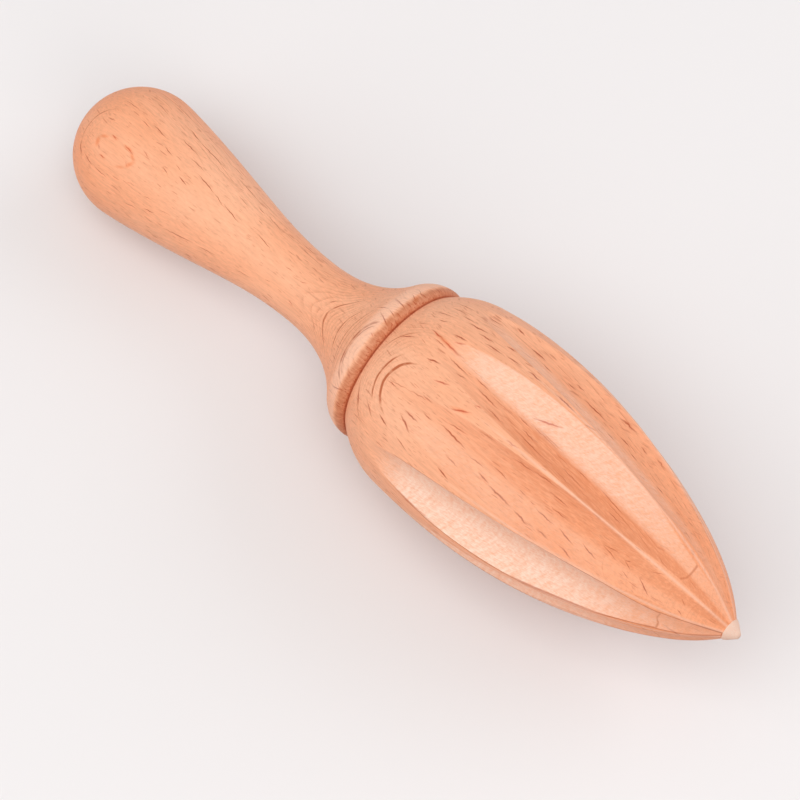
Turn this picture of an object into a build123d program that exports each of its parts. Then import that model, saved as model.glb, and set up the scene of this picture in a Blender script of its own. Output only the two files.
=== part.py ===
from build123d import *
import math
import os

# Wooden citrus reamer, turned and fluted from one beech blank.
# Millimetres. It lies on its side, as it does on a table: +X points from the butt to the tip, +Z is up,
# and the origin is under the middle of the reamer, on the surface that it lies on.
# Stations are measured along the reamer's own axis, from the butt.

# Whole length, and the raw nib left at the tip where the blank was cut from the lathe
overall_length = 162.2
nib_length = 2.8
nib_root_radius = 2.6
nib_end_radius = 0.5

# Pear-shaped handle, whose end is half a ball
bulb_radius = 12.8
waist_radius = 6.68
flare_radius = 14.5

# Bead between the handle and the head, and the narrow groove in front of the head
bead_width = 5.5
bead_radius = 16.35
bead_crest_setback = 1.2
groove_radius = 15.4

# Ogive head
head_length = 78.2
head_radius = 20.6
crown_setback = 23.6
crown_arc_radius = 95.5
shoulder_length = 8.6
nose_length = 8.4

# Flutes cut along the head by a round-nosed cutter
flute_count = 10
cutter_radius = 8.0
flute_lead_depth = 0.9
flute_run_radius = 230.0
flute_turn_length = 16.8
flute_end_length = 2.4
flute_end_depth = 0.6

# The waist's place along the handle, and the control points of the handle's two long curves, as shares
# of the way from the bulb to the waist and from the waist to the bead
waist_share = 0.753
taper_shares = [(0.08, 0), (0.56, 0.49), (0.68, 1)]
cove_shares = [(0.38, 0), (0.71, 0.215)]
nib_bulge_shares = (0.45, 0.38)

# Passes that bring the bulb and the head down onto the same level, and angles in degrees
level_passes = 6
quarter_turn = 90
full_turn = 360

nib_station = overall_length - nib_length
groove_station = nib_station - head_length
bead_station = groove_station - bead_width
waist_station = bead_station * waist_share
crown_station = groove_station + crown_setback
shoulder_station = groove_station + shoulder_length
nose_station = nib_station - nose_length
flute_end_station = overall_length - flute_end_length
flute_turn_station = flute_end_station - flute_turn_length


def between(start, end, shares):
    """Point on the way from start to end, by a share along the axis and a share of the radius."""
    along_share, radial_share = shares
    return (
        start[0] + (end[0] - start[0]) * along_share,
        start[1] + (end[1] - start[1]) * radial_share,
    )


def swept_curve(start, end, control_shares):
    """Smooth curve from start to end, pulled towards its control points."""
    controls = [between(start, end, shares) for shares in control_shares]
    return Bezier(start, *controls, end)


def handle_outline():
    """Butt, bulb, waist and cove, from the axis to the foot of the bead."""
    bulb = (bulb_radius, bulb_radius)
    waist = (waist_station, waist_radius)
    flare = (bead_station, flare_radius)
    butt = CenterArc((bulb_radius, 0), bulb_radius, start_angle=quarter_turn, arc_size=quarter_turn)
    return [butt, swept_curve(bulb, waist, taper_shares), swept_curve(waist, flare, cove_shares)]


def bead_outline():
    """Rounded bead, from the end of the flare to the bottom of the groove."""
    foot = (bead_station, flare_radius)
    crest = (groove_station - bead_crest_setback, bead_radius)
    groove = (groove_station, groove_radius)
    rise = TangentArc(crest, foot, tangent=(-1, 0))
    fall = TangentArc(crest, groove, tangent=(1, 0))
    return [rise, fall]


def head_radius_on_crown_arc(station):
    """Radius of the head where the long crown arc passes the station."""
    away = station - crown_station
    return head_radius - crown_arc_radius + math.sqrt(crown_arc_radius**2 - away**2)


def head_outline():
    """Shoulder, crown, nose and nib, from the groove to the axis."""
    groove = (groove_station, groove_radius)
    shoulder_top = (shoulder_station, head_radius_on_crown_arc(shoulder_station))
    nose_start = (nose_station, head_radius_on_crown_arc(nose_station))
    nib_root = (nib_station, nib_root_radius)
    nib_end = (overall_length, nib_end_radius)
    crown = ThreePointArc(shoulder_top, (crown_station, head_radius), nose_start)
    shoulder = TangentArc(shoulder_top, groove, tangent=-(crown % 0))
    nose = TangentArc(nose_start, nib_root, tangent=crown % 1)
    nib = ThreePointArc(nib_root, between(nib_root, nib_end, nib_bulge_shares), nib_end)
    end_cut = Line(nib_end, (overall_length, 0))
    return [shoulder, crown, nose, nib, end_cut]


def turned_body():
    """The reamer as it leaves the lathe, with its axis along X."""
    axis_line = Line((overall_length, 0), (0, 0))
    outline = handle_outline() + bead_outline() + head_outline() + [axis_line]
    return revolve(make_face(outline), Axis.X)


def valley_arcs():
    """The line that the lowest point of the cutter follows: a long arc, then a tighter one to the nib."""
    lead = (groove_station, head_radius - flute_lead_depth)
    turn_angle = math.asin((flute_turn_station - groove_station) / flute_run_radius)
    run = JernArc(lead, (1, 0), flute_run_radius, -math.degrees(turn_angle))
    end = (flute_end_station, nib_root_radius - flute_end_depth)
    nose = TangentArc(run @ 1, end, tangent=run % 1)
    return [run, nose]


def flute_cutter():
    """The wood that one pass of the cutter takes away, above the axis."""
    pieces = []
    for arc in valley_arcs():
        travel = arc % 0
        outward = Vector(-travel.Y, travel.X)
        centre = (arc @ 0) + outward * cutter_radius
        section = Plane(origin=centre, z_dir=travel) * Circle(cutter_radius)
        turn = math.degrees(arc.length / arc.radius)
        pieces.append(revolve(section, Axis(arc.arc_center, (0, 0, -1)), turn))
    return pieces


def fluted_body():
    """The turned body with its flutes, one of them on top and one underneath."""
    pieces = flute_cutter()
    turns = [quarter_turn + number * full_turn / flute_count for number in range(flute_count)]
    return turned_body() - [Rot(X=turn) * piece for turn in turns for piece in pieces]


def lowest(shape, tilt):
    """Lowest height of the shape when its tip is raised by the tilt."""
    return (Rot(Y=-tilt) * shape).bounding_box().min.Z


def seated(body):
    """The body lying on its bulb and its head, with the origin under its middle."""
    cut_plane = Plane(origin=(waist_station, 0, 0), z_dir=(1, 0, 0))
    handle_side = split(body, cut_plane, keep=Keep.BOTTOM)
    head_side = split(body, cut_plane, keep=Keep.TOP)
    tilt = 0.0
    for _ in range(level_passes):
        rise = lowest(handle_side, tilt) - lowest(head_side, tilt)
        tilt += math.degrees(rise / (crown_station - bulb_radius))
    tilted = Rot(Y=-tilt) * body
    box = tilted.bounding_box()
    print("tip raised by", round(tilt, 4), "degrees")
    return Pos(-box.center().X, -box.center().Y, -box.min.Z) * tilted


reamer = seated(fluted_body())
os.makedirs("parts", exist_ok=True)
export_step(reamer, "parts/turned_beech_body.step")
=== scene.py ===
import bpy
import math
from mathutils import Matrix, Vector


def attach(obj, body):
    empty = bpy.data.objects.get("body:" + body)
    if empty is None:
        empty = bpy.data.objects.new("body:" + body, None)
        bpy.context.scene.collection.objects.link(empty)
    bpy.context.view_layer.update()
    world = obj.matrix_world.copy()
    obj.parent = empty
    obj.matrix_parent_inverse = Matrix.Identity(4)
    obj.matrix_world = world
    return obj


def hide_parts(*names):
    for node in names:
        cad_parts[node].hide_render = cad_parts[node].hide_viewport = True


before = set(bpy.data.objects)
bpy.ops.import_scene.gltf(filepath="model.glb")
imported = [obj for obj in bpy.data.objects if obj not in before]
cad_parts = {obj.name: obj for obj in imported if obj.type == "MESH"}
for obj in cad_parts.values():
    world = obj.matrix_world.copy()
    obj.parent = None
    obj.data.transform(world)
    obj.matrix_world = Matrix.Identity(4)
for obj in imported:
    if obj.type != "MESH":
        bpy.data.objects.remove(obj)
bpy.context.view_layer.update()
mm = 0.001

# The reamer's own sizes in millimetres, stations measured along its axis from the butt
reamer = {
    "overallLength": 162.2,
    "nibLength": 2.8,
    "nibRootRadius": 2.6,
    "nibEndRadius": 0.5,
    "nibBulge": (0.45, 0.38),
    "bulbRadius": 12.8,
    "waistRadius": 6.68,
    "waistShare": 0.753,
    "flareRadius": 14.5,
    "taperPull": [(0.08, 0), (0.56, 0.49), (0.68, 1)],
    "covePull": [(0.38, 0), (0.71, 0.215)],
    "beadWidth": 5.5,
    "beadRadius": 16.35,
    "beadCrestSetback": 1.2,
    "grooveRadius": 15.4,
    "headLength": 78.2,
    "headRadius": 20.6,
    "crownSetback": 23.6,
    "crownArcRadius": 95.5,
    "shoulderLength": 8.6,
    "noseLength": 8.4,
    "rawNibSetback": 0.9,  # how far before the nib the raw wood starts, between the flutes
}
outlineSteps = {  # how finely each stretch of the outline is stepped
    "butt": 30,
    "taper": 46,
    "cove": 28,
    "beadRise": 14,
    "beadFall": 9,
    "shoulder": 26,
    "crown": 132,
    "nose": 40,
    "nib": 4,
}
flutes = {  # millimetres, unless it says otherwise
    "count": 10,
    "cutterRadius": 8.0,
    "leadDepth": 0.9,
    "runRadius": 230.0,
    "turnLength": 16.8,
    "endLength": 2.4,
    "endDepth": 0.6,
    "clearOfGroove": 2.0,  # no flute comes nearer to the groove
    "edgeRounding": 0.10,  # how softly a flute's edge is sanded
    "toolStep": 0.09,  # step that the cutter left near the tip
    "toolStepStation": 150.2,
    "toolStepLength": 0.12,
    "finishDepth": 0.12,  # how deep a cut has to be before it shows its own finish
    "stepsInFlute": 8,  # columns from a flute's middle to its edge
    "stepsOnLand": 5,  # columns from there to the middle of the land
    "handleSpread": 11.0,  # the same columns on the plain handle, degrees
    "narrowest": 2.6,  # half of a flute, degrees
    "widest": 17.65,
}
seat = {"tipLift": 5.0449, "shiftX": -80.783, "shiftZ": 11.6744}  # how it lies on the table

nibStation = reamer["overallLength"] - reamer["nibLength"]
grooveStation = nibStation - reamer["headLength"]
beadStation = grooveStation - reamer["beadWidth"]
beadCrest = grooveStation - reamer["beadCrestSetback"]
waistStation = beadStation * reamer["waistShare"]
crownStation = grooveStation + reamer["crownSetback"]
shoulderStation = grooveStation + reamer["shoulderLength"]
noseStation = nibStation - reamer["noseLength"]
fluteEnd = reamer["overallLength"] - flutes["endLength"]
fluteTurn = fluteEnd - flutes["turnLength"]


def pulled(start, end, shares):
    return tuple(a + (b - a) * share for a, b, share in zip(start, end, shares))


def bezier(points, share):
    while len(points) > 1:
        points = [pulled(a, b, (share, share)) for a, b in zip(points, points[1:])]
    return points[0]


def curveBetween(start, end, pulls, steps):
    controls = [start] + [pulled(start, end, shares) for shares in pulls] + [end]
    return [bezier(controls, i / steps) for i in range(1, steps + 1)]


def tangentArc(start, heading, end):
    # centre and radius of the arc that leaves start along heading and passes end
    normal = Vector((-heading[1], heading[0])).normalized()
    chord = Vector(end) - Vector(start)
    reach = chord.length_squared / (2 * chord.dot(normal))
    return Vector(start) + normal * reach, reach


def arcPoints(centre, start, end, steps):
    first, last = Vector(start) - centre, Vector(end) - centre
    a0, a1 = math.atan2(first.y, first.x), math.atan2(last.y, last.x)
    turn = (a1 - a0 + math.pi) % (2 * math.pi) - math.pi
    angles = [a0 + turn * i / steps for i in range(1, steps + 1)]
    return [(centre.x + first.length * math.cos(a), centre.y + first.length * math.sin(a)) for a in angles]


def crownAt(station):
    # radius and slope of the head's long arc
    arc, away = reamer["crownArcRadius"], station - crownStation
    rise = math.sqrt(arc**2 - away**2)
    return reamer["headRadius"] - arc + rise, -away / rise


def outlinePoints():
    steps = outlineSteps
    bulb = (reamer["bulbRadius"], reamer["bulbRadius"])
    waist = (waistStation, reamer["waistRadius"])
    flare = (beadStation, reamer["flareRadius"])
    crest = (beadCrest, reamer["beadRadius"])
    groove = (grooveStation, reamer["grooveRadius"])
    shoulder = (shoulderStation, crownAt(shoulderStation)[0])
    nose = (noseStation, crownAt(noseStation)[0])
    nibRoot = (nibStation, reamer["nibRootRadius"])
    nibEnd = (reamer["overallLength"], reamer["nibEndRadius"])
    points = [(0.0, 0.0)]
    points += arcPoints(Vector((reamer["bulbRadius"], 0)), (0, 0), bulb, steps["butt"])
    points += curveBetween(bulb, waist, reamer["taperPull"], steps["taper"])
    points += curveBetween(waist, flare, reamer["covePull"], steps["cove"])
    points += arcPoints(tangentArc(crest, (-1, 0), flare)[0], flare, crest, steps["beadRise"])
    points += arcPoints(tangentArc(crest, (1, 0), groove)[0], crest, groove, steps["beadFall"])
    slope = crownAt(shoulderStation)[1]
    points += arcPoints(tangentArc(shoulder, (-1, -slope), groove)[0], groove, shoulder, steps["shoulder"])
    for i in range(1, steps["crown"] + 1):
        station = shoulderStation + (noseStation - shoulderStation) * i / steps["crown"]
        points.append((station, crownAt(station)[0]))
    slope = crownAt(noseStation)[1]
    points += arcPoints(tangentArc(nose, (1, slope), nibRoot)[0], nose, nibRoot, steps["nose"])
    bulge = pulled(nibRoot, nibEnd, reamer["nibBulge"])
    shares = [i / steps["nib"] for i in range(1, steps["nib"] + 1)]
    for start, end in ((nibRoot, bulge), (bulge, nibEnd)):
        points += [pulled(start, end, (share, share)) for share in shares]
    points += [(reamer["overallLength"], reamer["nibEndRadius"] * share) for share in (0.5, 0.0)]
    return points


# The two arcs that the cutter's lowest point follows: (station, height, radius) of each centre
leadRadius = reamer["headRadius"] - flutes["leadDepth"]
runArc = (grooveStation, leadRadius - flutes["runRadius"], flutes["runRadius"])
turnDrop = math.sqrt(flutes["runRadius"] ** 2 - (fluteTurn - grooveStation) ** 2)
turnPoint = (fluteTurn, runArc[1] + turnDrop)
endPoint = (fluteEnd, reamer["nibRootRadius"] - flutes["endDepth"])
noseCentre, noseReach = tangentArc(turnPoint, (1, -(fluteTurn - grooveStation) / turnDrop), endPoint)
noseArc = (noseCentre.x, noseCentre.y, abs(noseReach))
endSlope = (fluteEnd - noseArc[0]) / (endPoint[1] - noseArc[1])  # how steeply the cutter leaves the wood


def fluteEdge(station, radius):
    # half of the angle that a flute takes up where it cuts the turned surface, in degrees
    centreX, centreY, arc = runArc if station < fluteTurn else noseArc
    cutter = flutes["cutterRadius"]
    reach = arc + cutter
    left = (station - centreX) ** 2 + radius**2 + centreY**2 - reach**2 - cutter**2
    a = 4 * (reach**2 - centreY**2)
    b = 4 * centreY * left
    c = 4 * reach**2 * (cutter**2 - radius**2) - left**2
    inside = b * b - 4 * a * c
    if inside < 0:
        return 0.0
    heights = [(-b + sign * math.sqrt(inside)) / (2 * a) for sign in (1, -1)]
    heights = [y for y in heights if 0 < y <= radius]
    return math.degrees(math.acos(max(heights) / radius)) if heights else 0.0


def fluteFloor(station):
    if station > fluteEnd:
        return endPoint[1] + (station - fluteEnd) / endSlope
    centreX, centreY, arc = runArc if station < fluteTurn else noseArc
    return centreY + math.sqrt(arc**2 - (station - centreX) ** 2)


def edgeAngles(points):
    # where the flutes' columns run at each station, in degrees either side of a flute's middle
    started = next(s for s, r in points if s > grooveStation and fluteFloor(s) < r)
    angles = []
    for station, radius in points:
        if station < started:
            near = min(1.0, max(0.0, (station - beadStation) / (started - beadStation)))
            near = near * near * (3 - 2 * near)
            angle = flutes["handleSpread"] + (flutes["narrowest"] - flutes["handleSpread"]) * near
        elif station > fluteEnd:
            angle = angles[-1]
        else:
            angle = min(flutes["widest"], max(flutes["narrowest"], fluteEdge(station, radius)))
        angles.append(angle)
    return angles


def socket(tree, name, kind, value=None, direction="INPUT"):
    made = tree.interface.new_socket(name=name, in_out=direction, socket_type="NodeSocket" + kind)
    if value is not None:
        made.default_value = value
    return made


def node(tree, kind, inputs=None, **settings):
    made = tree.nodes.new(kind)
    for name, value in settings.items():
        setattr(made, name, value)
    for key, value in (inputs or {}).items():
        put(tree, made.inputs[key], value)
    return made


def put(tree, target, value):
    if isinstance(value, bpy.types.NodeSocket):
        tree.links.new(value, target)
    else:
        target.default_value = value


def calc(tree, operation, *values, clamp=False):
    kind = "ShaderNodeMath"
    return node(tree, kind, dict(enumerate(values)), operation=operation, use_clamp=clamp).outputs[0]


def joined(tree, operation, first, *others):
    for other in others:
        first = calc(tree, operation, first, other)
    return first


def times(tree, *values):
    return joined(tree, "MULTIPLY", *values)


def plus(tree, *values):
    return joined(tree, "ADD", *values)


def minus(tree, *values):
    return joined(tree, "SUBTRACT", *values)


def most(tree, *values):
    return joined(tree, "MAXIMUM", *values)


def partsOf(tree, vector):
    return node(tree, "ShaderNodeSeparateXYZ", {0: vector}).outputs


def mapRange(tree, value, low, high, toLow=0.0, toHigh=1.0, smooth=False):
    inputs = {"Value": value, "From Min": low, "From Max": high, "To Min": toLow, "To Max": toHigh}
    kind = "SMOOTHSTEP" if smooth else "LINEAR"
    return node(tree, "ShaderNodeMapRange", inputs, interpolation_type=kind).outputs[0]


def blended(tree, share, first, second):
    return node(tree, "ShaderNodeMix", {0: share, 2: first, 3: second}).outputs[0]


def storeMask(tree, body, name, value):
    inputs = {"Geometry": body, "Name": name, "Value": value}
    return node(tree, "GeometryNodeStoreNamedAttribute", inputs, data_type="FLOAT", domain="POINT").outputs[0]


def readMask(tree, name):
    return node(tree, "GeometryNodeInputNamedAttribute", {"Name": name}, data_type="FLOAT").outputs[0]


def setMaterial(tree, body, material, faces=True):
    inputs = {"Geometry": body, "Selection": faces, "Material": material}
    return node(tree, "GeometryNodeSetMaterial", inputs).outputs[0]


def switchByIndex(tree, index, values):
    # picks one of the values by a whole number
    made = node(tree, "GeometryNodeIndexSwitch", data_type="FLOAT")
    while len(made.index_switch_items) < len(values):
        made.index_switch_items.new()
    put(tree, made.inputs["Index"], index)
    for i, value in enumerate(values):
        made.inputs[str(i)].default_value = value
    return made.outputs[0]


def floorTree():
    # radius of a flute's floor on a line at an angle from the flute's middle, made better at each use
    tree = bpy.data.node_groups.new("fluteFloor", "GeometryNodeTree")
    for name in ("Station", "Angle", "Radius", "Cutter Radius", "Turn Station", "End Station"):
        socket(tree, name, "Float")
    socket(tree, "Run Arc", "Vector")
    socket(tree, "Nose Arc", "Vector")
    socket(tree, "Floor", "Float", direction="OUTPUT")
    given = node(tree, "NodeGroupInput").outputs
    side = times(tree, given["Radius"], calc(tree, "SINE", given["Angle"]))
    cutter = given["Cutter Radius"]
    left = minus(tree, times(tree, cutter, cutter), times(tree, side, side))
    rise = minus(tree, cutter, calc(tree, "SQRT", most(tree, left, 0.0)))
    heights = []
    for arcName in ("Run Arc", "Nose Arc"):
        centreX, centreY, arc = partsOf(tree, given[arcName])
        reach = plus(tree, arc, rise)
        away = minus(tree, given["Station"], centreX)
        square = minus(tree, times(tree, reach, reach), times(tree, away, away))
        heights.append(plus(tree, centreY, calc(tree, "SQRT", most(tree, square, 0.0))))
    past = calc(tree, "GREATER_THAN", given["Station"], given["Turn Station"])
    chosen = blended(tree, past, *heights)
    beyond = minus(tree, given["Station"], given["End Station"])
    ramp = plus(tree, calc(tree, "DIVIDE", most(tree, beyond, 0.0), endSlope), endPoint[1])
    atEnd = calc(tree, "GREATER_THAN", beyond, 0.0)
    height = blended(tree, atEnd, chosen, ramp)
    onLine = calc(tree, "DIVIDE", height, calc(tree, "COSINE", given["Angle"]))
    node(tree, "NodeGroupOutput", {"Floor": onLine})
    return tree


# How each flute was left by the cutter: pale torn wood and brown burnished wood, on the side that comes
# first going round and on the other, from the flute on top (number 0) onwards
cutFinish = {
    "pale": [
        (0.0, 0.62), (0.4, 0.0), (0.2, 0.7), (0.8, 0.5), (0.1, 0.4), (0.5, 0.9), (0.3, 0.1), (0.7, 0.9),
        (0.95, 0.8), (0.15, 0.0),
    ],
    "brown": [
        (0.9, 0.0), (0.0, 0.2), (0.5, 0.1), (0.1, 0.3), (0.6, 0.1), (0.2, 0.1), (0.3, 0.5), (0.1, 0.1),
        (0.0, 0.15), (0.0, 0.6),
    ],
    "stopped": [
        (0.7, 1.0), (0.2, 0.0), (0.0, 0.3), (0.8, 0.6), (0.0, 0.0), (0.6, 0.8), (0.2, 0.0), (0.5, 0.3),
        (0.9, 0.6), (0.0, 0.1),
    ],
}


def bodyTree():
    tree = bpy.data.node_groups.new("turnedAndFluted", "GeometryNodeTree")
    socket(tree, "Geometry", "Geometry")
    sizes = {
        "Flute Count": flutes["count"],
        "Cutter Radius": flutes["cutterRadius"],
        "Turn Station": fluteTurn,
        "End Station": fluteEnd,
        "Edge Rounding": flutes["edgeRounding"],
        "Tool Step": flutes["toolStep"],
        "Tool Step Station": flutes["toolStepStation"],
        "Tool Step Length": flutes["toolStepLength"],
        "Steps In Flute": flutes["stepsInFlute"],
        "Steps On Land": flutes["stepsOnLand"],
        "Tip Lift": math.radians(seat["tipLift"]),
        "Shift X": seat["shiftX"],
        "Shift Z": seat["shiftZ"],
    }
    for name, value in sizes.items():
        socket(tree, name, "Int" if isinstance(value, int) else "Float", value)
    socket(tree, "Run Arc", "Vector", runArc)
    socket(tree, "Nose Arc", "Vector", noseArc)
    socket(tree, "Body Material", "Material")
    socket(tree, "Nib Material", "Material")
    socket(tree, "Geometry", "Geometry", direction="OUTPUT")
    given = node(tree, "NodeGroupInput").outputs

    # a flat sheet of rings by columns, which is then wrapped round the axis
    rings = node(tree, "GeometryNodeAttributeDomainSize", {0: given["Geometry"]}).outputs["Point Count"]
    half = plus(tree, given["Steps In Flute"], given["Steps On Land"])
    perFlute = times(tree, half, 2.0)
    columns = plus(tree, times(tree, perFlute, given["Flute Count"]), 1.0)
    sheet = node(tree, "GeometryNodeMeshGrid", {"Vertices X": rings, "Vertices Y": columns}).outputs["Mesh"]
    index = node(tree, "GeometryNodeInputIndex").outputs[0]
    ring = calc(tree, "FLOOR", calc(tree, "DIVIDE", plus(tree, index, 0.5), columns))
    column = minus(tree, index, times(tree, ring, columns))

    def ofRing(source, kind):
        inputs = {"Geometry": given["Geometry"], "Index": ring, "Value": source}
        return node(tree, "GeometryNodeSampleIndex", inputs, data_type=kind).outputs[0]

    outlinePlace = node(tree, "GeometryNodeInputPosition").outputs[0]
    station, turned, _ = partsOf(tree, ofRing(outlinePlace, "FLOAT_VECTOR"))
    edge = ofRing(readMask(tree, "edgeAngle"), "FLOAT")

    # columns crowd at the flutes' edges
    flute = calc(tree, "FLOOR", calc(tree, "DIVIDE", plus(tree, column, half), perFlute))
    step = minus(tree, column, times(tree, flute, perFlute))
    sign = calc(tree, "SIGN", step)
    step = calc(tree, "ABSOLUTE", step)
    inFlute = calc(tree, "MINIMUM", calc(tree, "DIVIDE", step, given["Steps In Flute"]), 1.0)
    inFlute = calc(tree, "SINE", times(tree, inFlute, math.pi / 2))
    onLand = most(tree, minus(tree, step, given["Steps In Flute"]), 0.0)
    onLand = times(tree, calc(tree, "DIVIDE", onLand, given["Steps On Land"]), math.pi / 2)
    onLand = minus(tree, 1.0, calc(tree, "COSINE", onLand))
    pitch = calc(tree, "DIVIDE", 2 * math.pi, given["Flute Count"])
    rest = minus(tree, times(tree, pitch, 0.5), edge)
    away = times(tree, plus(tree, times(tree, edge, inFlute), times(tree, rest, onLand)), sign)
    around = plus(tree, times(tree, flute, pitch), away)

    # the cutter's floor, found in a few rounds
    group = floorTree()
    radius = turned
    for _ in range(4):
        inputs = {"Station": station, "Angle": away, "Radius": radius}
        for name in ("Cutter Radius", "Turn Station", "End Station", "Run Arc", "Nose Arc"):
            inputs[name] = given[name]
        radius = node(tree, "GeometryNodeGroup", inputs, node_tree=group).outputs["Floor"]
    stepEnd = given["Tool Step Station"]
    stepStart = minus(tree, stepEnd, given["Tool Step Length"])
    deeper = mapRange(tree, station, stepStart, stepEnd, smooth=True)
    radius = minus(tree, radius, times(tree, deeper, times(tree, given["Tool Step"], 0.5)))
    radius = plus(tree, radius, times(tree, given["Tool Step"], 0.25))

    # before the head the cutter is far outside the wood
    farOutside = 100.0
    onHead = calc(tree, "GREATER_THAN", station, grooveStation + flutes["clearOfGroove"])
    radius = plus(tree, radius, times(tree, minus(tree, 1.0, onHead), farOutside))
    depth = minus(tree, turned, radius)
    rounding = calc(tree, "MINIMUM", given["Edge Rounding"], times(tree, turned, 0.2))
    cut = most(tree, calc(tree, "SMOOTH_MIN", turned, radius, rounding), 0.0)

    # into place on the table
    height = times(tree, cut, calc(tree, "COSINE", around))
    sideways = times(tree, cut, calc(tree, "SINE", around))
    cosLift = calc(tree, "COSINE", given["Tip Lift"])
    sinLift = calc(tree, "SINE", given["Tip Lift"])
    x = minus(tree, times(tree, station, cosLift), times(tree, height, sinLift))
    z = plus(tree, times(tree, station, sinLift), times(tree, height, cosLift))
    x, z = plus(tree, x, given["Shift X"]), plus(tree, z, given["Shift Z"])
    point = node(tree, "ShaderNodeCombineXYZ", {0: x, 1: sideways, 2: z}).outputs[0]
    point = node(tree, "ShaderNodeVectorMath", {0: point, "Scale": mm}, operation="SCALE").outputs[0]

    # masks for the finish; one side's turns into the other's near the middle of the flute
    fluteNumber = calc(tree, "MODULO", flute, given["Flute Count"])
    inCut = mapRange(tree, depth, 0.0, flutes["finishDepth"], smooth=True)
    farSide = mapRange(tree, calc(tree, "DIVIDE", away, edge), -0.16, 0.12, smooth=True)
    masks = {"cutMask": inCut}
    for name, pairs in cutFinish.items():
        near = switchByIndex(tree, fluteNumber, [pair[0] for pair in pairs])
        far = switchByIndex(tree, fluteNumber, [pair[1] for pair in pairs])
        masks[name + "Cut"] = times(tree, blended(tree, farSide, near, far), inCut)
    toCrest = minus(tree, times(tree, pitch, 0.5), calc(tree, "ABSOLUTE", away))
    masks["fromCrest"] = times(tree, toCrest, cut)
    onNib = calc(tree, "GREATER_THAN", station, nibStation - reamer["rawNibSetback"])
    masks["nibMask"] = times(tree, onNib, calc(tree, "LESS_THAN", depth, 0.02))
    body = node(tree, "GeometryNodeSetPosition", {"Geometry": sheet, "Position": point}).outputs[0]
    for name, value in masks.items():
        body = storeMask(tree, body, name, value)
    body = node(tree, "GeometryNodeMergeByDistance", {"Geometry": body, "Distance": 2e-6}).outputs[0]
    body = node(tree, "GeometryNodeRealizeInstances", {0: body}).outputs[0]
    body = setMaterial(tree, body, given["Body Material"])
    inputs = {0: readMask(tree, "nibMask"), 1: 0.6}
    nibFaces = node(tree, "FunctionNodeCompare", inputs, data_type="FLOAT", operation="GREATER_THAN").outputs[0]
    body = setMaterial(tree, body, given["Nib Material"], nibFaces)
    node(tree, "NodeGroupOutput", {0: body})
    return tree


def finishedBody(bodyMaterial, nibMaterial):
    points = outlinePoints()
    angles = edgeAngles(points)
    outline = bpy.data.meshes.new("outline")
    outline.from_pydata([(s, r, 0.0) for s, r in points], [(i, i + 1) for i in range(len(points) - 1)], [])
    stored = outline.attributes.new("edgeAngle", "FLOAT", "POINT")
    for item, angle in zip(stored.data, angles):
        item.value = math.radians(angle)
    shape = bpy.data.objects.new("outline", outline)
    bpy.context.scene.collection.objects.link(shape)
    tree = bodyTree()
    modifier = shape.modifiers.new("turnedAndFluted", "NODES")
    modifier.node_group = tree
    for item in tree.interface.items_tree:
        if item.in_out == "INPUT" and item.name in ("Body Material", "Nib Material"):
            modifier[item.identifier] = bodyMaterial if item.name == "Body Material" else nibMaterial
    depsgraph = bpy.context.evaluated_depsgraph_get()
    evaluated = shape.evaluated_get(depsgraph)
    mesh = bpy.data.meshes.new_from_object(evaluated, preserve_all_data_layers=True, depsgraph=depsgraph)
    mesh.name = "turnedReamer"
    shape.modifiers.clear()
    bpy.data.objects.remove(shape)
    bpy.data.meshes.remove(outline)
    made = bpy.data.objects.new("turnedReamer", mesh)
    bpy.context.scene.collection.objects.link(made)
    mesh.shade_smooth()
    return made


def linear(*levels):
    # a colour as a painter writes it, 0 to 255, turned into light
    shares = [level / 255 for level in levels]
    return tuple(s / 12.92 if s < 0.0405 else ((s + 0.055) / 1.055) ** 2.4 for s in shares) + (1.0,)


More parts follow.
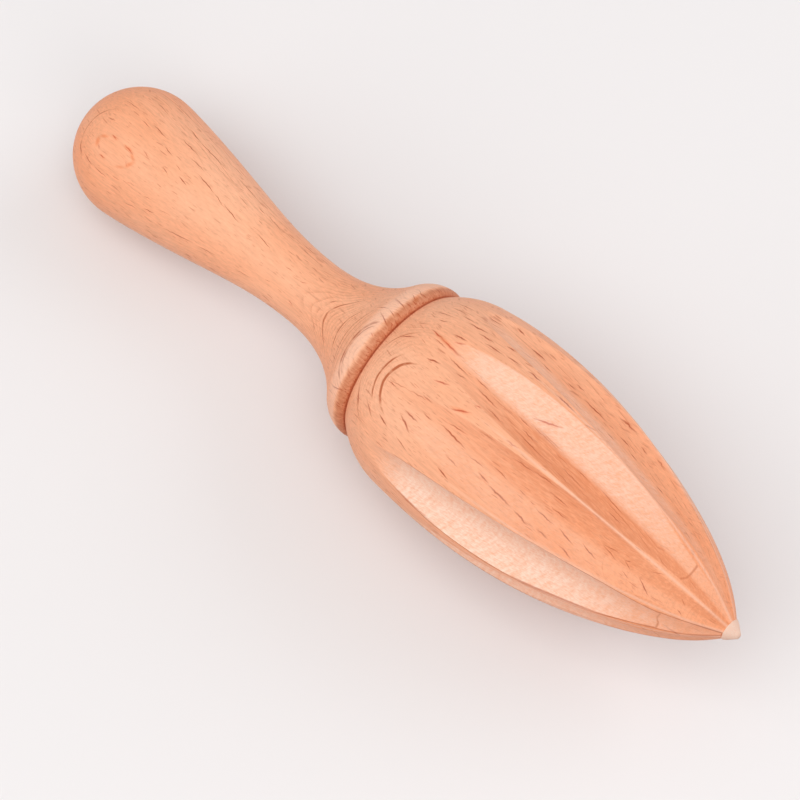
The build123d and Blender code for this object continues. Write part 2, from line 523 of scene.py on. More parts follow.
# Beech: its colours, and where one blank's growth rings and larger rays come to the surface
beech = {
    "sapColour": linear(251, 185, 148),
    "heartColour": linear(243, 160, 116),
    # the ring colour also paints the shade line at the pale flutes' edges
    "ringAndShadeColour": linear(174, 76, 20),
    # the ray colour also paints the shadow line in the groove
    "rayAndShadeColour": linear(166, 60, 14),
    "redColour": linear(192, 62, 26),
    "softColour": linear(232, 122, 62),
    # the pale colour is torn wood, and also paints the highlights along the bead's crest and the flutes' crests
    "paleAndHighlightColour": linear(255, 226, 208),
    "tornColour": linear(246, 190, 160),
    "brownColour": linear(224, 138, 94),
    # the end grain colour also paints shade on the bead's steep face
    "endGrainAndShadeColour": linear(192, 109, 69),
    "nibColour": linear(248, 216, 198),
    "ringLean": -32.0,  # degrees round the axis from the top to the middle of the rings
    "ringWidth": 0.055,
    "rayWidth": 0.13,
    "softWidth": 0.42,
    "markReach": 0.57,  # where a mark has faded out, as a share of its length from its middle
    "markEdge": 1.5,  # how sharply a mark ends
    "degreeWidth": 0.30,  # mm on the surface for one degree round the axis
    # how strongly each figure colours the wood
    "fineShare": 0.42,
    "linedShare": 0.62,
    "ringShare": 0.85,
    "rayShare": 0.95,
    "softShare": 0.55,
    "redShare": 0.75,
    # stations between which the fine rings come and go, and the colour deepens
    "coveStarts": (56.0, 64.0),
    "coveFades": (80.0, 92.0),
    "tipStarts": (134.0, 142.0),
    "buttStarts": (9.0, 4.0),
    "deepToTip": (96.0, 160.0),
    "deepToButt": (30.0, 6.0),
    # small ray dashes in layers: size of the cells, share of them that holds a dash, its size, boldness
    "dashLayers": [
        ((8.5, 0.75, 9.0), 0.42, 0.30, 0.90),
        ((4.0, 0.50, 6.0), 0.50, 0.34, 0.45),
        ((1.8, 0.36, 4.0), 0.60, 0.38, 0.28),
    ],
    # the side whose rays are placed below: its middle, and how far from it the boldest layer comes back
    "placedSide": (-12.0, 62.0, 74.0),
    # height above the axis, first and last station where it shows, boldness
    "rings": [
        (10.60, 4, 9, 0.80), (11.60, 4, 8, 0.35), (7.94, 62, 70.8, 1.00), (8.45, 66, 71, 0.30),
        (10.22, 69, 73, 1.1), (10.60, 70, 73, 0.5), (11.94, 71, 75.5, 1.0), (12.65, 72, 76.2, 0.8),
        (13.74, 73, 77, 0.7), (14.88, 74, 78.4, 2.8), (15.22, 74, 78.4, 1.6), (15.95, 81.6, 87, 0.9),
        (18.14, 83, 87.3, 1.50), (18.82, 83, 90.8, 1.50), (12.60, 135, 141, 0.25), (11.30, 139, 145, 0.20),
        (10.20, 142, 148, 0.25), (8.30, 146, 153, 0.15), (6.20, 150, 157, 0.25), (4.40, 152, 158, 0.25),
    ],
    # large rays and dark fibres: station and angle round the axis where each starts and ends, boldness
    "rays": [
        # handle
        (8, 8.6, 13, 8, 0.6), (12.5, 26.5, 17, 24, 0.6), (14.2, 2.4, 16.5, 1.6, 0.7),
        (16.5, 6.2, 20.2, 4.7, 0.9), (20.8, 31, 24.2, 28.6, 0.9), (23.8, 28.6, 31.6, 29, 1.0),
        (34, 34, 40.6, 33.7, 0.9), (40.9, 25.6, 43, 25, 0.9), (43.3, 27.6, 47.8, 25, 0.9),
        (21.8, 15.3, 26.4, 15, 0.9), (26, 7.6, 29.7, 6.8, 0.8), (21, -2, 23.4, -3.7, 0.8),
        (29.3, 0.3, 34.2, -4, 1.0), (34, -3.8, 36.8, -8, 0.8), (36.6, -5.8, 41.1, -10.8, 1.0),
        (27, -14, 29.2, -17, 1.0), (25, -7.6, 26.7, -9.5, 0.6), (23.4, -17.2, 25.3, -21, 0.7),
        (45, -5, 49, -10.2, 1.0), (43.1, 10.5, 44.4, 9.5, 0.7), (51.1, 6.5, 53.1, 6.8, 0.7),
        (54.5, 13, 56.1, 13.8, 0.6), (57.7, 3, 59, 3.3, 0.6), (59.5, 7, 61.7, 12, 0.6),
        (58.3, 17.5, 61.7, 23, 0.6), (62.5, 18, 66, 20.5, 0.5), (51.6, 38, 55, 37.5, 1.0),
        (55.8, 39.5, 58.4, 39.5, 1.0), (49, 42, 51, 41.5, 0.7), (37, 15.2, 39.9, 14, 0.6),
        (28, 22, 34, 21, 0.5), (10, 41, 22.5, 44, 0.6), (31, 42, 34, 43.5, 0.7), (8.3, -52.5, 11.9, -56, 0.8),
        (11.8, -55, 15.4, -56.6, 0.7), (6, -50.5, 8.3, -57, 0.9), (20, -68.5, 23.5, -66.8, 0.6),
        (28.9, -71, 35.8, -66.3, 0.9), (36.4, -67.5, 40.8, -64.5, 0.8), (24.4, -62, 26.6, -60.3, 0.9),
        (23.2, -51, 25.3, -49.3, 0.5), (27.2, -54, 29.3, -52, 0.5), (45, -68, 48.4, -65.5, 0.7),
        (51.3, -52, 52.5, -50, 0.7), (64.4, -54, 65.4, -63, 0.7), (64.8, -17.5, 66, -9, 0.7),
        (8.6, -13.8, 10.4, -12.4, 0.7),
        # bead
        (76.5, 12.5, 80.5, 7.5, 0.9), (75, 0.5, 78, 2, 0.7), (77.8, 2, 80.3, -1, 0.6),
        (76.8, -2.5, 80.6, -8.5, 0.9), (76.8, -64.5, 80.2, -60, 0.9), (77.6, 30, 80.6, 24, 0.6),
        (78.2, 22, 80.6, 17, 0.7),
        # shoulder and the head's upper side
        (83.8, -9.1, 86.6, -4.3, 0.8), (91.3, -10.9, 94.2, -8.7, 0.9), (84.4, 16.9, 89.2, 18.8, 0.6),
        (86, 32, 89.4, 31.8, 0.7), (86, 25.8, 90.3, 25.5, 0.6), (89.2, 23.2, 92.3, 23.6, 0.7),
        (91.3, 20.8, 95.6, 21.9, 0.9), (94.5, 18.5, 98.1, 19.2, 0.8), (99.9, 22.6, 102.2, 23, 0.8),
        (97, 15.4, 101, 16.3, 0.8), (101.6, 16.9, 104.8, 17.8, 0.7), (106.5, 18, 109.8, 18.3, 0.9),
        (112.9, 18.2, 118.3, 18.1, 1.0), (87, 12.3, 88.8, 13.2, 0.7), (91.5, 8.9, 94.6, 10, 0.9),
        (84, 3.6, 86.5, 6.2, 0.5), (92, 35.3, 95, 37.8, 0.8), (93.5, 31.8, 95.5, 34.5, 0.6),
        (99.8, 33.7, 101.2, 34.7, 0.6), (101.3, 31.5, 104.3, 34.5, 0.9), (96.7, 43.9, 98.9, 43.6, 0.9),
        (101.4, 40.2, 105.2, 40.9, 1.0), (105.3, 37.3, 107.8, 37.3, 0.8), (110.8, 40.8, 113, 41.2, 0.8),
        (115.2, 40.6, 120.8, 42.3, 1.0), (111.8, 44.5, 114, 44.9, 0.7), (114.5, 31.5, 117, 31.5, 0.8),
        (121.5, 49.7, 126, 51.2, 0.8), (124.3, 42, 127, 42.7, 0.9), (127.8, 39, 129.7, 39.8, 0.8),
        (122.5, 35.3, 124.6, 35.4, 1.0), (120.9, 30, 122.6, 30.5, 0.9), (132, 28.8, 134, 33, 0.8),
        (135.2, 38.2, 137.1, 38.6, 1.0), (128, 48.6, 129.8, 48.8, 0.7), (131.3, 51.2, 133.8, 52, 0.6),
        (144.4, 28.9, 146.9, 27, 1.0), (143.2, 35.5, 144.1, 36, 0.7), (147, 50.7, 148.3, 51.7, 0.6),
        # the brown wall of the flute on top
        (89.4, 0.8, 92.7, 0, 0.6), (94, -2.6, 99.5, -4, 0.7), (97.4, -7.4, 99.5, -6, 0.6),
        (102, -5.8, 107.7, -7.5, 0.8), (105.8, -10.7, 110.8, -12.6, 0.7), (111.9, -10.2, 121, -12.9, 0.8),
        (113, -7, 116.8, -8.3, 0.8), (109, -8, 113, -8.9, 0.5), (110.7, -2.1, 114, -3.3, 0.7),
        (114.5, 0, 121, -0.6, 0.9), (100, -1.7, 104, -2.6, 0.7), (120, -4.4, 123.3, -4.9, 0.7),
        (124.3, -3, 128, -3.6, 0.8), (122.6, -9, 128.8, -10.7, 0.8), (121.5, -13, 127.5, -15, 0.6),
        (129.6, -1.8, 136.6, -4.7, 0.9), (132, -5.6, 139.9, -9.2, 0.9), (139.7, -1.6, 144.6, -5.5, 0.5),
        (133.5, -10.8, 137.3, -12.1, 0.8), (139.9, -7.6, 144.5, -13.8, 0.6), (144.3, -9.8, 148, -14.5, 0.7),
        (150.6, -3.5, 153.3, -8.6, 0.7), (87.8, 4.0, 91.6, 2.9, 0.7), (91, 3, 98, 1.4, 0.5),
        (96.5, 1, 105, -0.6, 0.4), (113, -0.9, 120, -1.7, 0.9), (103.5, -3.6, 112.5, -5, 0.4),
        (118, -6.6, 130, -7.6, 0.4), (124, -12.2, 134, -14.2, 0.4), (136, -3, 146, -8.4, 0.4),
        # the flute that faces the light, and the one below it
        (88.1, -32.3, 90.5, -32.4, 0.7), (97.2, -34.3, 99.4, -34.7, 0.7), (101.1, -32.8, 107.3, -35.7, 1.0),
        (94, -38.9, 97.4, -40, 0.9), (93.9, -42, 97.4, -46.3, 0.9), (90.1, -49.7, 92.8, -52.4, 0.9),
        (86.2, -49.4, 89, -54.8, 0.7), (82.9, -48.9, 85, -57.9, 0.9), (95.3, -52.7, 98.6, -55.4, 0.6),
        (105, -44.5, 108.3, -45.7, 0.6), (105.4, -50.5, 108.2, -52.6, 0.9), (108.3, -37.5, 112.2, -37.9, 0.6),
        (113.2, -33.6, 116.6, -35.3, 0.8), (111.5, -41.8, 114.3, -43.3, 0.9), (114.3, -43.9, 119.9, -46.5, 1.0),
        (101.9, -30, 106.4, -28.4, 0.7), (95.5, -26.6, 98, -26.8, 0.6), (108, -22.6, 112, -22, 0.5),
        (115.6, -23, 120.6, -21.7, 0.7), (119.5, -21.4, 125.4, -20.4, 0.7), (124.2, -25.1, 128.4, -25.5, 0.8),
        (125.3, -32.2, 129.3, -33.1, 0.8), (119, -35.8, 121, -36.2, 0.6), (121.8, -37.5, 123.2, -37.6, 0.6),
        (123.5, -39.3, 127.7, -41.2, 0.9), (128.7, -41, 132.4, -44.6, 0.9), (133.3, -40.2, 137, -44.4, 0.9),
        (120.6, -47, 124.4, -49.5, 0.9), (125.7, -48.4, 128.5, -49.6, 0.7), (130.6, -49.2, 133.9, -52, 0.8),
        (141.5, -40, 143.4, -43.6, 0.6), (144.5, -37, 147.7, -47.4, 0.9), (136.5, -31.3, 139.7, -29, 0.8),
        (136.5, -31.6, 139.9, -36.1, 0.9), (141, -31.6, 142.2, -28.8, 0.8), (141, -31.4, 142.7, -35.8, 0.8),
        (145.5, -25.5, 147.9, -20.4, 0.6), (152, -29, 153.1, -36, 0.7), (152.4, -45, 153.6, -50.2, 0.7),
        (88.2, -31.8, 92.8, -29.2, 0.45), (92, -29.6, 97.4, -27, 0.45),
    ],
    "softMarks": [
        (11.6, -25.5, 9.8, -31.5, 0.8), (9.8, -30.5, 10.4, -40.5, 1.0), (17, -25, 18.7, -30.5, 0.8),
        (18.7, -29.5, 17.6, -39.5, 0.8), (17.8, -38.5, 15.8, -43.8, 0.6), (15, -24, 17.6, -24.8, 0.9),
        (11.8, -24, 13.6, -24.2, 0.6), (11.8, -43.2, 13.6, -43, 0.6), (113, 2, 118, 9.5, 0.8),
        (88.5, 3.6, 96, 1.4, 0.7), (100.8, -22.8, 105.2, -19.2, 0.6), (79.2, 26, 80.4, 14, 0.8),
    ],
    "redMarks": [
        (90.3, 2.8, 95.6, 1.5, 0.9), (88, 4, 90.6, 2.7, 0.7), (92.8, 5.4, 94.9, 8.2, 0.7),
        (112.8, 2.5, 118, 9.6, 1.0), (95.3, -17.3, 98.5, -14.4, 0.9), (101.4, -23.4, 104.9, -18.8, 1.0),
        (104.4, -14.4, 106, -13.6, 0.6), (112.9, -18.2, 115.7, -17.4, 0.7), (53.2, -15.8, 55, -14, 0.9),
        (57.2, -19.6, 58.9, -15, 0.9), (55.6, -17.6, 57.1, -16, 0.6), (57.1, -54, 58.9, -60.2, 0.9),
        (18.7, -17, 20.4, -19.6, 0.7), (11.9, -23.6, 13.3, -24.4, 0.9), (11.9, -43.6, 13.3, -42.8, 0.9),
        (15.2, -23.6, 17.6, -25.6, 0.9), (10.6, -36.5, 11.4, -40.5, 0.7), (17.2, -34.5, 18, -37.5, 0.5),
        (78.6, -17.6, 79.6, -19.2, 0.7), (19.2, -50, 20.4, -47.4, 0.5),
    ],
}


def colourMix(tree, share, first, second, blend="MIX"):
    made = node(tree, "ShaderNodeMix", data_type="RGBA", blend_type=blend, clamp_factor=True)
    put(tree, made.inputs["Factor"], share)
    put(tree, made.inputs[6], first)
    put(tree, made.inputs[7], second)
    return made.outputs[2]


def painted(tree, colour, share, name):
    # the colour with a share of one of the beech's own over it
    return colourMix(tree, share, colour, beech[name])


def noise(tree, place, changes, detail=2.0, roughness=0.5):
    # changes: how often it changes in a millimetre along the reamer, across it and up
    stretched = node(tree, "ShaderNodeVectorMath", {0: place, 1: changes}, operation="MULTIPLY").outputs[0]
    inputs = {"Vector": stretched, "Scale": 1.0, "Detail": detail, "Roughness": roughness}
    return node(tree, "ShaderNodeTexNoise", inputs).outputs["Fac"]


def turnedAbout(tree, axis, degrees, vector):
    inputs = {"Vector": vector, "Angle": math.radians(degrees)}
    return node(tree, "ShaderNodeVectorRotate", inputs, rotation_type=axis + "_AXIS").outputs[0]


def spindles(tree, first, second, width, marks):
    # Each mark is a thin spindle between two points of a plane. The marks stand in one chain, and the
    # plane's third axis carries the boldest so far, because a wide tree is too much for the renderer.
    endless = 1e6
    carried = node(tree, "ShaderNodeCombineXYZ", {0: first, 1: second, 2: 0.0}).outputs[0]
    for startFirst, startSecond, endFirst, endSecond, boldness in marks:
        run, rise = endFirst - startFirst, endSecond - startSecond
        inputs = {
            "Vector": carried,
            "Location": ((startFirst + endFirst) / 2, (startSecond + endSecond) / 2, 0.0),
            "Rotation": (0.0, 0.0, math.atan2(rise, run)),
            "Scale": (math.hypot(run, rise) * beech["markReach"], width * (0.5 + boldness), endless),
        }
        local = node(tree, "ShaderNodeMapping", inputs, vector_type="TEXTURE").outputs[0]
        away = node(tree, "ShaderNodeVectorMath", {0: local}, operation="LENGTH").outputs["Value"]
        sharp = beech["markEdge"] * boldness
        mark = calc(tree, "MULTIPLY_ADD", away, -sharp, sharp)
        mark = node(tree, "ShaderNodeCombineXYZ", {0: -endless, 1: -endless, 2: mark}).outputs[0]
        carried = node(tree, "ShaderNodeVectorMath", {0: carried, 1: mark}, operation="MAXIMUM").outputs[0]
    return calc(tree, "MINIMUM", partsOf(tree, carried)[2], 1.0)


def rayTree():
    # ray ends: short spindle-shaped dashes along the grain, thin sheets within the wood
    tree = bpy.data.node_groups.new("rayDashes", "ShaderNodeTree")
    for name, kind in (("Grain", "Vector"), ("Cell", "Vector"), ("Share", "Float"), ("Size", "Float")):
        socket(tree, name, kind)
    socket(tree, "Dash", "Float", direction="OUTPUT")
    given = node(tree, "NodeGroupInput").outputs
    inputs = {0: given["Grain"], 1: given["Cell"]}
    cells = node(tree, "ShaderNodeVectorMath", inputs, operation="DIVIDE").outputs[0]
    inputs = {"Vector": cells, "Scale": 1.0, "Randomness": 1.0}
    voronoi = node(tree, "ShaderNodeTexVoronoi", inputs, feature="F1")
    chance = node(tree, "ShaderNodeSeparateColor", {0: voronoi.outputs["Color"]}).outputs
    size = times(tree, given["Size"], mapRange(tree, chance[1], 0.0, 1.0, 0.45, 1.0))
    dash = mapRange(tree, voronoi.outputs["Distance"], size, times(tree, size, 0.55), smooth=True)
    kept = calc(tree, "LESS_THAN", chance[0], given["Share"])
    strength = mapRange(tree, chance[2], 0.0, 1.0, 0.4, 1.0)
    node(tree, "NodeGroupOutput", {"Dash": times(tree, dash, kept, strength)})
    return tree


def grainTree():
    # beech as it shows on any cut: rings, rays, fibre and slow changes of colour
    rayGroup = rayTree()
    tree = bpy.data.node_groups.new("beechGrain", "ShaderNodeTree")
    socket(tree, "Place", "Vector")
    socket(tree, "Marks", "Float", 1.0)
    for name, kind in (("Color", "Color"), ("Height", "Float"), ("Fibre", "Float"), ("Red", "Float")):
        socket(tree, name, kind, direction="OUTPUT")
    given = node(tree, "NodeGroupInput").outputs
    place = given["Place"]
    along, across, height = partsOf(tree, turnedAbout(tree, "X", beech["ringLean"], place))
    slow = noise(tree, place, (0.035, 0.10, 0.10))
    wobble = times(tree, minus(tree, noise(tree, place, (0.12, 0.35, 0.35)), 0.5), 0.16)
    ringHeight = plus(tree, height, wobble)

    # rings of the blank, broken here and there
    broken = mapRange(tree, noise(tree, place, (0.30, 0.45, 0.45)), 0.34, 0.50, 0.30, 1.0)
    arcs = [(first, ring, last, ring, boldness) for ring, first, last, boldness in beech["rings"]]
    rings = times(tree, spindles(tree, along, ringHeight, beech["ringWidth"], arcs), broken)

    # fine rings between them, where the wood is cut steeply
    wavy = plus(tree, ringHeight, times(tree, slow, 2.0))
    fine = calc(tree, "POWER", calc(tree, "FRACT", times(tree, wavy, 2.7)), 3.0)
    onCove = times(
        tree,
        mapRange(tree, along, *beech["coveStarts"]),
        mapRange(tree, along, *beech["coveFades"], 1.0, 0.15),
    )
    onTip = mapRange(tree, along, *beech["tipStarts"], 0.0, 0.35)
    onButt = mapRange(tree, along, *beech["buttStarts"], 0.0, 0.6)
    fineShare = mapRange(tree, noise(tree, place, (0.16, 1.0, 1.0)), 0.36, 0.62, 0.15, 1.0)
    fine = times(tree, fine, times(tree, most(tree, onCove, onTip, onButt), fineShare))

    # on the two sides the same rings run along the reamer as thin broken lines
    lined = calc(tree, "FRACT", plus(tree, times(tree, wavy, 1.35), times(tree, slow, 3.0)))
    lined = calc(tree, "POWER", lined, 7.0)
    gaps = mapRange(tree, noise(tree, place, (0.24, 1.6, 1.6), 2.0, 0.6), 0.47, 0.60)
    upright = plus(tree, calc(tree, "ABSOLUTE", height), 1.0)
    sideness = calc(tree, "DIVIDE", calc(tree, "ABSOLUTE", across), upright)
    lined = times(tree, lined, gaps, mapRange(tree, sideness, 0.55, 1.30))

    # large rays, each in its place, on the surface rolled out flat
    wide = beech["degreeWidth"]
    _, sideways, up = partsOf(tree, place)
    angle = times(tree, calc(tree, "ARCTAN2", sideways, up), math.degrees(1))
    ragged = times(tree, minus(tree, noise(tree, place, (0.9, 0.4, 0.4)), 0.5), 0.5)
    reach = calc(tree, "SQRT", plus(tree, times(tree, across, across), times(tree, height, height)))
    ragged = calc(tree, "DIVIDE", ragged, times(tree, reach, math.radians(1)))
    angle = times(tree, plus(tree, angle, ragged), wide)
    placed = {}
    for name, width in (("rays", "rayWidth"), ("redMarks", "rayWidth"), ("softMarks", "softWidth")):
        marks = [(a, b * wide, c, d * wide, boldness) for a, b, c, d, boldness in beech[name]]
        placed[name] = spindles(tree, along, angle, beech[width], marks)

    # small ray dashes everywhere
    drift = noise(tree, place, (0.3, 0.3, 0.3), 1.0)
    shifted = plus(tree, across, times(tree, drift, 0.8))
    sheets = node(tree, "ShaderNodeCombineXYZ", {0: along, 1: shifted, 2: height}).outputs[0]
    middle, near, far = (degrees * wide for degrees in beech["placedSide"])
    elsewhere = mapRange(tree, calc(tree, "ABSOLUTE", minus(tree, angle, middle)), near, far, 0.25, 1.0)
    dashes = 0.0
    for number, (cell, share, size, boldness) in enumerate(beech["dashLayers"]):
        inputs = {"Grain": sheets, "Cell": cell, "Share": share, "Size": size}
        dash = node(tree, "ShaderNodeGroup", inputs, node_tree=rayGroup).outputs[0]
        dash = times(tree, dash, boldness)
        if number == 0:
            dash = times(tree, dash, elsewhere)
        dashes = most(tree, dashes, dash)
    rays = most(tree, placed["rays"], dashes)

    # fibre along the grain
    coarse = noise(tree, place, (0.14, 2.2, 2.2), 3.0, 0.6)
    threads = noise(tree, place, (0.55, 5.5, 5.5), 2.0, 0.6)
    fibre = plus(tree, times(tree, coarse, 0.6), times(tree, threads, 0.4))

    # the wood's own colour, deeper towards both ends, and the figure over it
    toTip = times(tree, mapRange(tree, along, *beech["deepToTip"]), 0.95)
    toButt = times(tree, mapRange(tree, along, *beech["deepToButt"]), 0.45)
    tone = plus(tree, mapRange(tree, slow, 0.35, 0.65, -0.22, 0.22), toTip, toButt)
    tone = calc(tree, "ADD", tone, 0.15, clamp=True)
    colour = colourMix(tree, tone, beech["sapColour"], beech["heartColour"])
    threadTone = mapRange(tree, fibre, 0.36, 0.64, 0.88, 1.07)
    grey = node(tree, "ShaderNodeCombineColor", {0: threadTone, 1: threadTone, 2: threadTone}).outputs[0]
    colour = colourMix(tree, 1.0, colour, grey, "MULTIPLY")
    lines = most(tree, times(tree, fine, beech["fineShare"]), times(tree, lined, beech["linedShare"]))
    colour = painted(tree, colour, times(tree, lines, given["Marks"]), "ringAndShadeColour")
    colour = painted(tree, colour, times(tree, rings, beech["ringShare"], given["Marks"]), "ringAndShadeColour")
    colour = painted(tree, colour, times(tree, rays, beech["rayShare"], given["Marks"]), "rayAndShadeColour")
    colour = painted(tree, colour, times(tree, placed["softMarks"], beech["softShare"]), "softColour")
    colour = painted(tree, colour, times(tree, placed["redMarks"], beech["redShare"]), "redColour")
    relief = minus(tree, times(tree, fibre, 0.6), times(tree, dashes, 0.5))
    results = {"Color": colour, "Height": relief, "Fibre": fibre, "Red": placed["redMarks"]}
    node(tree, "NodeGroupOutput", results)
    return tree


def placeOnAxis(tree):
    # millimetres along the reamer's axis, sideways and up from it
    inputs = {
        "Vector": node(tree, "ShaderNodeTexCoord").outputs["Object"],
        "Location": (seat["shiftX"] * mm, 0.0, seat["shiftZ"] * mm),
        "Rotation": (0.0, -math.radians(seat["tipLift"]), 0.0),
        "Scale": (mm, mm, mm),
    }
    return node(tree, "ShaderNodeMapping", inputs, vector_type="TEXTURE").outputs[0]


def newMaterial(name):
    material = bpy.data.materials.new(name)
    material.use_nodes = True
    material.node_tree.nodes.clear()
    return material, material.node_tree


def surface(tree, looks, bump):
    looks["Normal"] = node(tree, "ShaderNodeBump", bump).outputs[0]
    shader = node(tree, "ShaderNodeBsdfPrincipled", looks)
    node(tree, "ShaderNodeOutputMaterial", {"Surface": shader.outputs[0]})


# Where each finish, painted highlight and painted shade lies on the reamer: stations, mm from a crest, degrees
# for the streaks
finish = {
    "paleStarts": (91.0, 102.0),
    "paleThins": (130.0, 158.0),
    "streakLean": 38,  # the torn wood's streaks lean across the flute
    "speckLean": -8,
    "brownStarts": (96.0, 118.0),
    # stations where the painted shade line at the pale flutes' edges comes in
    "edgeShadeStarts": (94.0, 102.0),
    # stations where the painted highlight along the bead's crest comes in and fades
    "beadHighlightStarts": (75.6, 77.4),
    "beadHighlightEnds": (78.6, 79.4),
    "beadFaceBack": (1.1, 0.7),  # how far before the bead's crest the end grain and its painted shade begin
    "beadFaceEnds": (0.05, 0.4),  # past the groove, where it stops
    "grooveShadow": 0.06,  # past the groove, where the painted shadow line runs
    "buttDark": (3.5, 0.5),
    # mm from a crest over which the painted highlight along it fades out, and stations where it comes in
    "crestHighlight": (0.45, 0.05),
    "crestHighlightStarts": (104.0, 122.0),
    "stopLineBack": 0.05,  # how far before the cutter's step its line runs
}


def beechMaterial(grainGroup):
    material, tree = newMaterial("sandedBeech")
    place = placeOnAxis(tree)
    station = partsOf(tree, place)[0]
    masks = ("paleCut", "brownCut", "stoppedCut", "cutMask", "fromCrest")
    paleCut, brown, stopped, cut, fromCrest = (
        node(tree, "ShaderNodeAttribute", attribute_name=name).outputs["Fac"] for name in masks
    )

    def between(name, toLow=0.0, toHigh=1.0, smooth=False):
        return mapRange(tree, station, *finish[name], toLow, toHigh, smooth)

    # torn pale wood in some of the flutes, with streaks across them, and fewer of the wood's marks
    pale = times(tree, between("paleStarts", smooth=True), between("paleThins", 1.0, 0.25, True))
    pale = times(tree, paleCut, pale)
    marks = minus(tree, 1.0, times(tree, pale, 0.8))
    grain = node(tree, "ShaderNodeGroup", {"Place": place, "Marks": marks}, node_tree=grainGroup).outputs
    streaks = noise(tree, turnedAbout(tree, "Z", finish["streakLean"], place), (1.9, 0.42, 0.42), 3.0, 0.6)
    specks = noise(tree, turnedAbout(tree, "Z", finish["speckLean"], place), (1.1, 4.2, 4.2), 3.0, 0.65)
    fuzz = plus(tree, times(tree, streaks, 0.42), times(tree, specks, 0.58))
    torn = colourMix(tree, mapRange(tree, fuzz, 0.38, 0.60), beech["tornColour"], beech["paleAndHighlightColour"])
    brownLines = noise(tree, place, (0.10, 2.6, 2.6), 2.0, 0.6)
    brown = times(tree, brown, mapRange(tree, brownLines, 0.38, 0.60, 0.40, 1.25), between("brownStarts"))
    burnished = colourMix(tree, 0.25, beech["brownColour"], grain["Color"])
    colour = colourMix(tree, brown, grain["Color"], burnished)
    colour = colourMix(tree, times(tree, pale, 0.92), colour, torn)
    colour = painted(tree, colour, times(tree, grain["Red"], times(tree, pale, 0.8)), "redColour")

    # painted shade: a thin dark line where the pale flutes meet the rest, at the edges of the cut and beside
    # the crests
    besideCrest = calc(tree, "ABSOLUTE", minus(tree, fromCrest, 0.30))
    besideCrest = times(tree, mapRange(tree, besideCrest, 0.20, 0.06), cut)
    edgeShade = times(tree, times(tree, cut, 4.0), minus(tree, 1.0, cut))
    leftPale = calc(tree, "DIVIDE", paleCut, most(tree, cut, 0.01))
    leftPale = mapRange(tree, leftPale, 0.66, 0.78, 0.0, 0.75)
    edgeShade = times(tree, most(tree, edgeShade, besideCrest), leftPale, between("edgeShadeStarts"))
    colour = painted(tree, colour, edgeShade, "ringAndShadeColour")

    # a painted highlight along the bead's crest; its steep face shows end grain with painted shade over it, and
    # the groove gets a painted shadow line
    highlightOnBead = times(tree, between("beadHighlightStarts", smooth=True), between("beadHighlightEnds", 0.26, 0.0, True))
    colour = painted(tree, colour, highlightOnBead, "paleAndHighlightColour")
    # the steep face: its end grain, and painted shade where it turns from the light
    early, late = (beadCrest - back for back in finish["beadFaceBack"])
    faceEdge = mapRange(tree, noise(tree, place, (0.3, 0.5, 0.5)), 0.35, 0.65, early, late)
    onFace = mapRange(tree, minus(tree, station, faceEdge), 0.0, 0.9, smooth=True)
    low, high = (grooveStation + past for past in finish["beadFaceEnds"])
    onFace = times(tree, onFace, mapRange(tree, station, low, high, 1.0, 0.0))
    streaks = mapRange(tree, noise(tree, place, (0.35, 1.7, 1.7), 3.0, 0.7), 0.38, 0.60, 0.55, 0.85)
    colour = painted(tree, colour, times(tree, onFace, streaks), "endGrainAndShadeColour")
    streaks = mapRange(tree, noise(tree, place, (0.25, 2.4, 2.4)), 0.58, 0.66, 0.0, 0.55)
    colour = painted(tree, colour, times(tree, onFace, streaks), "rayAndShadeColour")
    # painted shadow: a dark line in the groove between the bead and the head
    fromGroove = calc(tree, "ABSOLUTE", minus(tree, station, grooveStation + finish["grooveShadow"]))
    colour = painted(tree, colour, mapRange(tree, fromGroove, 0.24, 0.04, 0.0, 0.8), "rayAndShadeColour")
    colour = painted(tree, colour, between("buttDark", 0.0, 0.35), "endGrainAndShadeColour")

    # a painted highlight along the crests, and the line where the cutter stopped
    crest = mapRange(tree, fromCrest, *finish["crestHighlight"])
    colour = painted(tree, colour, times(tree, crest, between("crestHighlightStarts", 0.0, 0.28)), "paleAndHighlightColour")
    bent = noise(tree, place, (0.0, 0.42, 0.42), 0.0)
    bent = minus(tree, station, mapRange(tree, bent, 0.3, 0.7, -0.45, 0.45))
    stopLine = minus(tree, bent, flutes["toolStepStation"] - finish["stopLineBack"])
    stopLine = mapRange(tree, calc(tree, "ABSOLUTE", stopLine), 0.25, 0.05, 0.0, 0.5)
    colour = painted(tree, colour, times(tree, stopLine, stopped), "ringAndShadeColour")

    # lathe and sanding marks run round the axis
    latheMarks = noise(tree, place, (5.5, 0.04, 0.04), 2.0, 0.6)
    relief = plus(tree, grain["Height"], times(tree, latheMarks, 0.18))
    relief = plus(tree, relief, times(tree, fuzz, pale, 1.6))
    roughness = mapRange(tree, grain["Fibre"], 0.3, 0.7, 0.46, 0.60)
    roughness = plus(tree, roughness, times(tree, pale, 0.25))
    looks = {"Base Color": colour, "Roughness": roughness, "Specular IOR Level": 0.26}
    surface(tree, looks, {"Strength": 0.55, "Distance": 0.00012, "Height": relief})
    return material


def nibMaterial(grainGroup):
    material, tree = newMaterial("rawNib")
    place = placeOnAxis(tree)
    grain = node(tree, "ShaderNodeGroup", {"Place": place, "Marks": 0.3}, node_tree=grainGroup).outputs
    torn = noise(tree, place, (1.2, 5.0, 5.0), 3.0, 0.7)
    colour = painted(tree, grain["Color"], mapRange(tree, torn, 0.35, 0.65, 0.75, 1.0), "nibColour")
    looks = {"Base Color": colour, "Roughness": 0.85, "Specular IOR Level": 0.2}
    surface(tree, looks, {"Strength": 0.8, "Distance": 0.00025, "Height": torn})
    return material


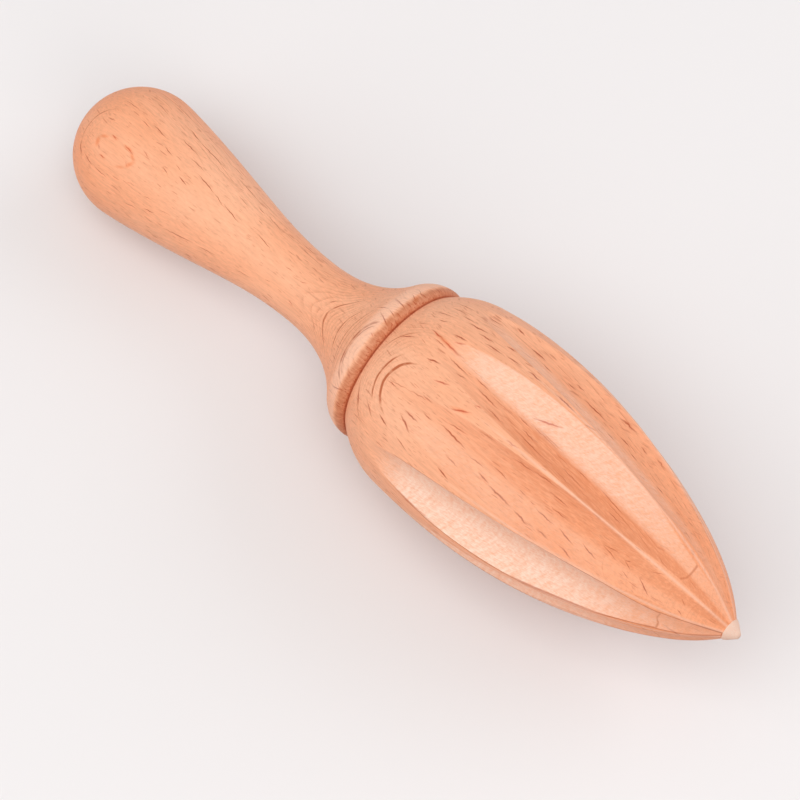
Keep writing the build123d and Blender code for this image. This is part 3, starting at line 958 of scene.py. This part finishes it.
grainGroup = grainTree()
sandedBeech, rawNib = beechMaterial(grainGroup), nibMaterial(grainGroup)
print("beech made, with", len(beech["rays"]), "placed rays")
body = finishedBody(sandedBeech, rawNib)
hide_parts("turned_beech_body")
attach(body, "root")
triangles = sum(len(face.vertices) - 2 for face in body.data.polygons)
print("reamer made:", len(body.data.vertices), "points,", triangles, "triangles")

# Table top: pale in the picture, and no brighter to the reamer than the photo's table
table = {
    "size": 3.0,
    "colour": (0.86, 0.845, 0.86, 1.0),
    "bounceColour": (0.46, 0.41, 0.42, 1.0),
    "roughness": 0.9,
    "specular": 0.1,
}


def seenShare(tree):
    # 1 for what the camera sees, straight or in a reflection, and 0 for the light that reaches the wood
    rays = node(tree, "ShaderNodeLightPath").outputs
    return most(tree, rays["Is Camera Ray"], rays["Is Glossy Ray"], rays["Is Transmission Ray"])


def tableTop():
    reach = table["size"] / 2
    mesh = bpy.data.meshes.new("tableTop")
    corners = [(-reach, -reach, 0), (reach, -reach, 0), (reach, reach, 0), (-reach, reach, 0)]
    mesh.from_pydata(corners, [], [(0, 1, 2, 3)])
    made = bpy.data.objects.new("tableTop", mesh)
    bpy.context.scene.collection.objects.link(made)
    material = bpy.data.materials.new("paleTable")
    material.use_nodes = True
    tree = material.node_tree
    shader = tree.nodes["Principled BSDF"]
    colour = colourMix(tree, seenShare(tree), table["bounceColour"], table["colour"])
    put(tree, shader.inputs["Base Color"], colour)
    shader.inputs["Roughness"].default_value = table["roughness"]
    shader.inputs["Specular IOR Level"].default_value = table["specular"]
    mesh.materials.append(material)
    return made


tableTop()

# The camera stands where the photo was taken from: angles in degrees, lengths in metres
photoView = {
    "azimuth": 42.1101,
    "elevation": 63.1941,
    "roll": 2.0304,
    "distance": 0.8,
    "pixelFocus": 4420.125,
    "centre": (407.7245, 369.857),
    "aimStation": 82.0,
    "frameSize": 800,
    "sensorWidth": 36.0,
    "clip": (0.05, 20.0),
}


def photoCamera():
    a, e, turn = (math.radians(photoView[name]) for name in ("azimuth", "elevation", "roll"))
    back = Vector((math.sin(a) * math.cos(e), -math.cos(a) * math.cos(e), math.sin(e)))
    level = Vector((math.cos(a), math.sin(a), 0))
    upright = back.cross(level)
    right = level * math.cos(turn) + upright * math.sin(turn)
    up = upright * math.cos(turn) - level * math.sin(turn)
    lift = math.radians(seat["tipLift"])
    station = photoView["aimStation"]
    aim = (station * math.cos(lift) + seat["shiftX"], 0, station * math.sin(lift) + seat["shiftZ"])
    aim = Vector(aim) * mm
    perPixel = photoView["distance"] / photoView["pixelFocus"]
    asideX, asideY = (place - photoView["frameSize"] / 2 for place in photoView["centre"])
    offset = right * asideX * perPixel - up * asideY * perPixel
    data = bpy.data.cameras.new("photoCamera")
    data.sensor_width = photoView["sensorWidth"]
    data.lens = photoView["pixelFocus"] * data.sensor_width / photoView["frameSize"]
    data.clip_start, data.clip_end = photoView["clip"]
    made = bpy.data.objects.new("photoCamera", data)
    bpy.context.scene.collection.objects.link(made)
    turned = Matrix((right, up, back)).transposed().to_4x4()
    made.matrix_world = Matrix.Translation(aim + back * photoView["distance"] - offset) @ turned
    bpy.context.scene.camera = made


photoCamera()

# Soft studio light: (name, place, size, power, colour), all aimed at the reamer
warmWhite, coolWhite = (1.0, 0.985, 0.96), (0.98, 0.98, 1.0)
lampAim = Vector((0, 0, 0.02))
lamps = [
    ("highSoftbox", (0.20, -0.50, 1.28), 1.2, 6.8, warmWhite),
    ("buttSoftbox", (-0.75, -0.98, 0.70), 1.2, 5.8, warmWhite),
    ("tipSoftbox", (1.12, -0.52, 0.66), 1.0, 3.5, warmWhite),
    ("farSoftbox", (0.55, 1.10, 0.66), 1.2, 5.9, coolWhite),
]
for name, place, size, power, colour in lamps:
    light = bpy.data.lights.new(name, "AREA")
    light.shape = "SQUARE"
    light.size = size
    light.energy = power
    light.color = colour
    made = bpy.data.objects.new(name, light)
    bpy.context.scene.collection.objects.link(made)
    made.location = place
    made.rotation_euler = (lampAim - Vector(place)).to_track_quat("-Z", "Y").to_euler()

# The air round it lights it softly, and shows as a pale wall in the picture
studioAir = {"colour": (1.0, 0.98, 0.96, 1.0), "light": 0.5, "shown": 0.88}
world = bpy.data.worlds.new("studioAir")
bpy.context.scene.world = world
world.use_nodes = True
air = world.node_tree
background = air.nodes["Background"]
background.inputs["Color"].default_value = studioAir["colour"]
strength = mapRange(air, seenShare(air), 0.0, 1.0, studioAir["light"], studioAir["shown"])
put(air, background.inputs["Strength"], strength)
bpy.context.scene.view_settings.view_transform = "Standard"
print("table, camera and light placed")
